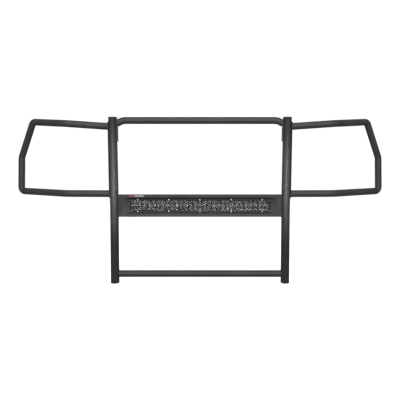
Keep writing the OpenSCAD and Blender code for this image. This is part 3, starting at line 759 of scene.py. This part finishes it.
def weld_beads():
    """A fillet of weld round every tube end and down both edges of the rear tabs."""
    seams = []

    def ring(middle, half_y, half_z, count=48):
        seams.append([
            middle + Vector((0, half_y * math.cos(2 * math.pi * k / count),
                             half_z * math.sin(2 * math.pi * k / count)))
            for k in range(count)
        ])

    plate_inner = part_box("right_crossbar_plate")[0].x
    plate_outer = {
        h: UPRIGHT_X + UPRIGHT_W / 2 + CAGE_PLATE_T + splay_shift(h)
        for h in (CAGE_TOP_H, CAGE_LOW_H)
    }
    bar_end_h = top_bar_h(plate_inner) - 2 * MM
    slant = 1.13  # the sloping end meets its plate in an oval
    for _, side in SIDES:
        ring(Vector((side * UPRIGHT_IN_X, UPRIGHT_Y, LOW_BAR_Z)), TUBE_R, TUBE_R)
        ring(at(side * (plate_inner + BAR_PLATE_T), 0, bar_end_h), TUBE_R, TUBE_R * slant)
        for h, x in plate_outer.items():
            ring(at(side * x, 0, h), TUBE_R, TUBE_R)
    verts, edges = [], []
    for seam in seams:
        first = len(verts)
        verts += seam
        edges += [(first + k, first + (k + 1) % len(seam)) for k in range(len(seam))]
    for name, _ in SIDES:
        low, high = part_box(name + "_rear_tab")
        for x in (low.x, high.x):
            first = len(verts)
            edge_y = UPRIGHT_Y + (UPRIGHT_D - UPRIGHT_W) / 2 + math.sqrt(
                max(0.0, (UPRIGHT_W / 2) ** 2 - (abs(x) - UPRIGHT_X) ** 2))
            verts += [Vector((x, edge_y, low.z)), Vector((x, edge_y, high.z))]
            edges.append((first, first + 1))
    mesh = bpy.data.meshes.new("weld_beads")
    mesh.from_pydata([tuple(v) for v in verts], edges, [])
    obj = new_object("weld_beads", mesh)
    run_tree(obj, BEAD_TREE, {
        "Ripple length": RIPPLE_L, "Bead radius": BEAD_R, "Finish": FINISHES["black_powder_coat"],
    })
    smooth_by_angle(obj.data, 60)
    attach(obj, GUARD)


# ---------- expanded metal ----------

MESH_COLUMNS = 39
MESH_ROWS = 5
STRAND_W = 2.6 * MM
STRAND_LAP = 1.12
STRAND_DEPTH = 0.9 * (mesh_high.y - mesh_low.y)
WINDOW_L = 770 * MM
WINDOW_H = 54 * MM


def strand_tree():
    """Sets a twisted strand on every point, turned by the point's slant attribute."""
    tree, start, end = new_tree(
        "expanded_metal",
        [("Strand", "NodeSocketObject", None), ("Finish", "NodeSocketMaterial", None)],
    )
    strand = tree.nodes.new("GeometryNodeObjectInfo")
    slant = tree.nodes.new("GeometryNodeInputNamedAttribute")
    slant.data_type = "FLOAT_VECTOR"
    slant.inputs["Name"].default_value = "slant"
    turn = tree.nodes.new("FunctionNodeEulerToRotation")
    place = tree.nodes.new("GeometryNodeInstanceOnPoints")
    link = tree.links.new
    link(start.outputs["Strand"], strand.inputs["Object"])
    link(slant.outputs["Attribute"], turn.inputs["Euler"])
    link(start.outputs["Geometry"], place.inputs["Points"])
    link(strand.outputs["Geometry"], place.inputs["Instance"])
    link(turn.outputs["Rotation"], place.inputs["Rotation"])
    return painted(tree, start, place, end)


def strand_mesh(length, width, depth):
    """One strand of expanded metal: a flat bar that narrows and twists in its middle."""
    rings = []
    for t, twist, wide in ((-0.5, 0, 1.25), (-0.25, 10, 1.0), (0, 16, 0.92), (0.25, 10, 1.0),
                           (0.5, 0, 1.25)):
        a = math.radians(twist)
        ring = []
        for cx, cz in SQUARE:
            y, z = cx * depth / 2, cz * width * wide / 2
            ring.append(Vector((t * length, y * math.cos(a) - z * math.sin(a),
                                y * math.sin(a) + z * math.cos(a))))
        rings.append(ring)
    half = Vector((length / 2, 0, 0))
    return rings_mesh("strand", [[-half], *rings, [half]])


def mesh_insert():
    """Expanded metal inside a flat rim."""
    middle = (mesh_low + mesh_high) / 2
    pitch_x, pitch_z = WINDOW_L / MESH_COLUMNS, WINDOW_H / MESH_ROWS
    half = Vector((pitch_x / 2, 0, pitch_z / 2))
    slope = math.atan2(half.z, half.x)
    points, slants = [], []
    for j in range(-MESH_ROWS, MESH_ROWS):
        for i in range(2 * MESH_COLUMNS):
            up = 1 if (i + j) % 2 else -1
            x = -WINDOW_L / 2 + (i + 0.5) * half.x
            z = (j + 0.5) * half.z
            points.append(middle + Vector((x, 0, z)))
            slants.append((0, -up * slope, 0))
    lattice = tagged_points("expanded_metal", points, "slant", slants)
    strand_l = math.hypot(half.x, half.z) * STRAND_LAP
    strand = new_object("strand", strand_mesh(strand_l, STRAND_W, STRAND_DEPTH))
    run_tree(lattice, strand_tree(), {"Strand": strand, "Finish": FINISHES["black_powder_coat"]})
    bpy.data.objects.remove(strand)
    rim = rim_mesh()
    bm = bmesh.new()
    bm.from_mesh(lattice.data)
    bm.from_mesh(rim)
    bm.to_mesh(lattice.data)
    bm.free()
    finish_piece(lattice, ["mesh_insert"])


def rim_mesh():
    """The flat border round the expanded metal."""
    rings = []
    middle = (mesh_low + mesh_high) / 2
    inner = (WINDOW_L / 2, WINDOW_H / 2)
    outer = ((mesh_high.x - mesh_low.x) / 2, (mesh_high.z - mesh_low.z) / 2)
    for (half_x, half_z), y in ((outer, mesh_low.y), (inner, mesh_low.y), (inner, mesh_high.y),
                                (outer, mesh_high.y)):
        rings.append([Vector((middle.x + cx * half_x, y, middle.z + cz * half_z))
                      for cx, cz in SQUARE])
    return rings_mesh("rim", rings, loop=True)


# ---------- the pieces ----------

for side_name, side_sign in SIDES:
    upright(side_name, side_sign)
    headlight_cage(side_name, side_sign)
crossbars()
weld_beads()
mesh_insert()
fasteners()

# How far each piece's sharp edges are broken, in millimetres
EDGE_WIDTHS = {
    "cover_panel": 0.9, "badge": 0.3, "light_housing": 0.4, "light_bezel": 0.5,
    "driver_cover": 0.6, "cable_gland": 0.4, "breather_plug": 0.4, "tilt_pins": 0.4,
    "bracket_washers": 0.3, "light_lens": 0.3, "lens_gasket": 0.0, "reflector_array": 0.0,
    "led_board": 0.0, "driver_board": 0.2, "plate_weld_nuts": 0.0,
}
for side_name, _ in SIDES:
    EDGE_WIDTHS.update({
        side_name + "_top_cap": 0.5, side_name + "_foot_cap": 0.5,
        side_name + "_crossbar_plate": 0.7, side_name + "_cage_plate": 0.6,
        side_name + "_rear_tab": 0.7, side_name + "_frame_bracket": 0.7,
        side_name + "_light_foot": 0.4, side_name + "_light_lug": 0.5,
        side_name + "_light_cap": 0.7,
    })
for node, edge in EDGE_WIDTHS.items():
    broken_edges(node, edge * MM)

# ---------- floor, light and camera ----------


def pale_floor():
    """A broad pale floor that glows, and that neither lights nor mirrors in the guard."""
    reach = 60.0
    corners = [(cx * reach, cy * reach, FOOT_Z) for cx, cy in SQUARE]
    mesh = mesh_of("floor", corners, [(0, 1, 2, 3)])
    floor = new_object("floor", mesh)
    pale = Finish("pale_floor", specular=0.2)
    pale.colour(pale.noise(0.6, 2), (0.90, 0.90, 0.90), (0.92, 0.92, 0.92))
    pale.roughness(pale.noise(2, 2), 0.7, 0.8)
    pale.shader.inputs["Emission Color"].default_value = (1, 1, 1, 1)
    pale.shader.inputs["Emission Strength"].default_value = 0.75
    mesh.materials.append(pale.material)
    floor.visible_diffuse = False
    floor.visible_glossy = False


def surroundings():
    """Soft ambient light, behind a brighter backdrop that only the camera sees."""
    bpy.context.scene.view_settings.view_transform = "Standard"
    world = bpy.data.worlds.new("studio")
    bpy.context.scene.world = world
    world.use_nodes = True
    nodes, links = world.node_tree.nodes, world.node_tree.links
    seen = nodes.new("ShaderNodeLightPath").outputs["Is Camera Ray"]
    ambient = nodes["Background"]
    ambient.inputs["Color"].default_value = (1, 1, 1, 1)
    ambient.inputs["Strength"].default_value = 0.30
    backdrop = nodes.new("ShaderNodeBackground")
    backdrop.inputs["Color"].default_value = (1, 1, 1, 1)
    backdrop.inputs["Strength"].default_value = 1.05
    both = nodes.new("ShaderNodeMixShader")
    links.new(seen, both.inputs["Fac"])
    links.new(ambient.outputs[0], both.inputs[1])
    links.new(backdrop.outputs[0], both.inputs[2])
    links.new(both.outputs[0], nodes["World Output"].inputs["Surface"])


def lit_only(light, objects):
    """Keeps a light to some of the objects."""
    group = bpy.data.collections.new(light.name + "_receivers")
    for obj in objects:
        group.objects.link(obj)
    light.light_linking.receiver_collection = group


def lights():
    """Broad light from above, in front and behind, and a narrow one for the uprights alone."""
    area_light("top_light", (0, -2.4, 2.8), (0, 0, 0.5), (4.5, 2.2), 78)
    fill = area_light("front_fill", (0, -5.0, 1.4), (0, 0, 0.4), (4.5, 2.0), 110)
    area_light("rear_light", (0, 4.5, 2.2), (0, 0, 0.4), (4.0, 2.0), 60)
    low = area_light("upright_light", (0, -1.1, 0.45), (0, -0.15, 0.45), (1.1, 0.12), 2.4)
    low.data.spread = math.radians(42)
    tubes = [bpy.data.objects[name + "_upright_tube"] for name, _ in SIDES]
    lit_only(low, tubes)
    lit_only(fill, [o for o in bpy.data.objects if o.type == "MESH" and o not in tubes])


def area_light(name, place, target, size, power):
    """A soft box at a place, turned towards a target."""
    data = bpy.data.lights.new(name, "AREA")
    data.shape = "RECTANGLE"
    data.size, data.size_y = size
    data.energy = power
    light = new_object(name, data)
    light.location = place
    light.rotation_euler = (Vector(target) - Vector(place)).to_track_quat("-Z", "Y").to_euler()
    return light


CAMERA_REACH = 3.300
CAMERA_H = 0.7092
CAMERA_DIP = 4.35
CAMERA_LENS = 54.45


def camera():
    """A camera straight in front of the guard, dipped slightly towards its middle."""
    data = bpy.data.cameras.new("camera")
    data.lens = CAMERA_LENS
    data.sensor_width = 36
    data.clip_end = 200
    cam = new_object("camera", data)
    cam.location = (0, UPRIGHT_Y - CAMERA_REACH, FOOT_Z + CAMERA_H)
    cam.rotation_euler = (math.radians(90 - CAMERA_DIP), 0, 0)
    bpy.context.scene.camera = cam


pale_floor()
surroundings()
lights()
camera()
